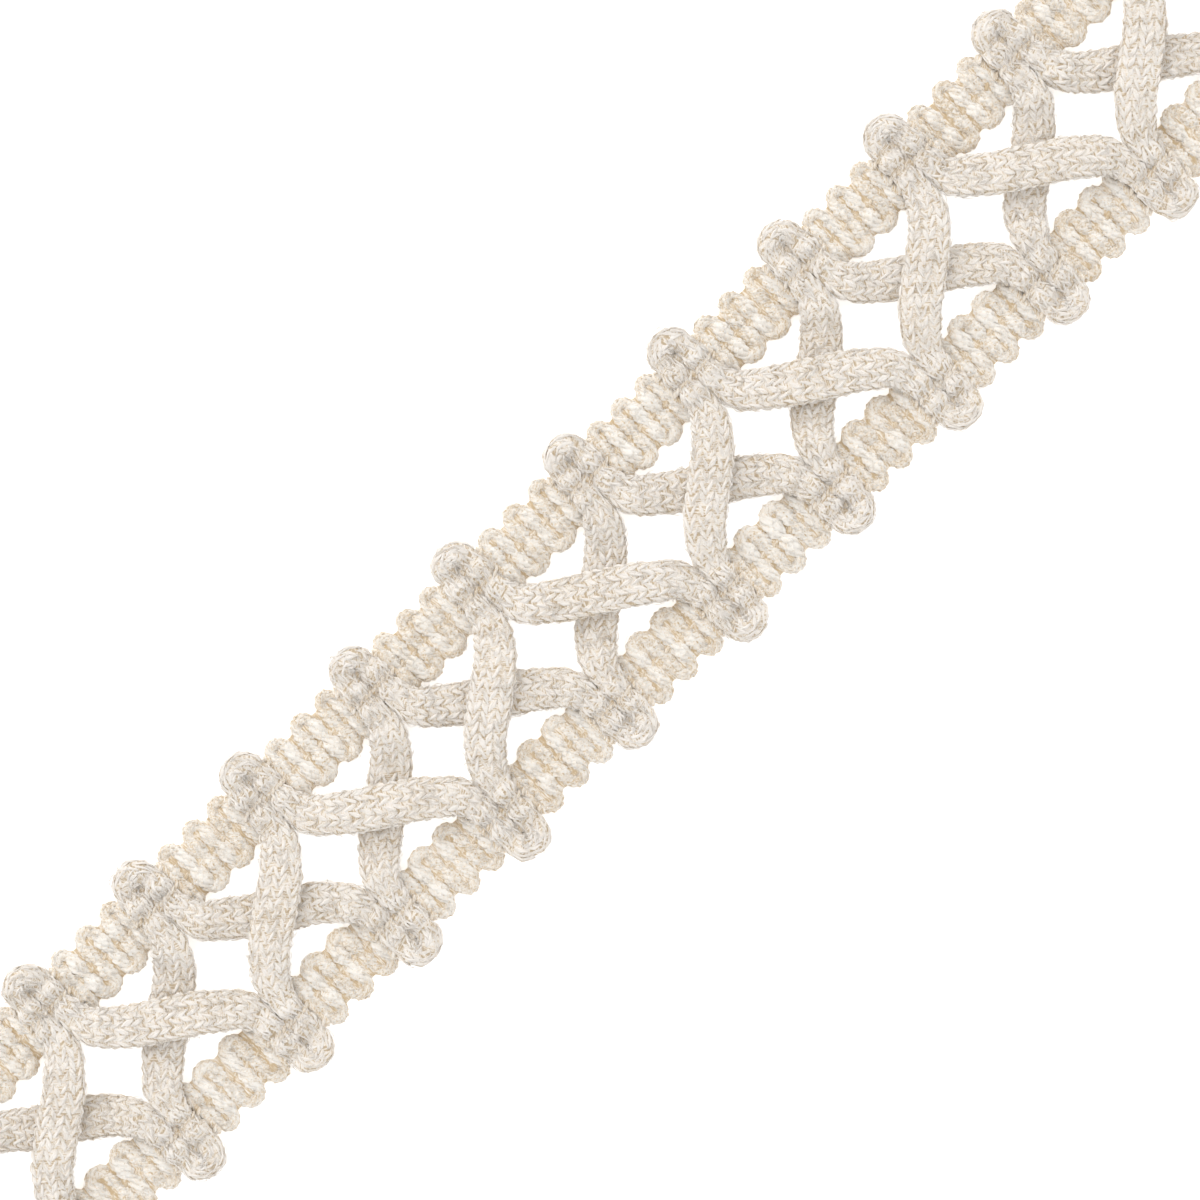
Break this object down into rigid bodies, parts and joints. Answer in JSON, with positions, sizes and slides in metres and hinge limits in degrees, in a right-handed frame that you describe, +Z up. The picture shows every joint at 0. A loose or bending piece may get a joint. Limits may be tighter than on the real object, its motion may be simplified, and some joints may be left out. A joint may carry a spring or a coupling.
{
  "type": "cut length of openwork braid trim",
  "caption": "Flat cut length of openwork furnishing braid: two gimp bands joined by two knitted cords plaited in a zigzag, with small looped picots along both edges.",
  "frame": {"origin": "middle of the trim's underside, half way along and half way across", "axes": "+X along the trim, +Y across it towards edge A, +Z up out of the face that shows"},
  "size_m": [0.362, 0.0512, 0.0082],
  "materials": {
    "gimp": "soft ecru and cream yarn with a slight silky sheen",
    "knit": "matt cream and ecru melange yarn, knitted"
  },
  "bodies": {
    "root": {"gimp_band_a": "gimp", "gimp_band_b": "gimp", "knit_cord_over": "knit", "knit_cord_under": "knit"}
  },
  "joints": []
}
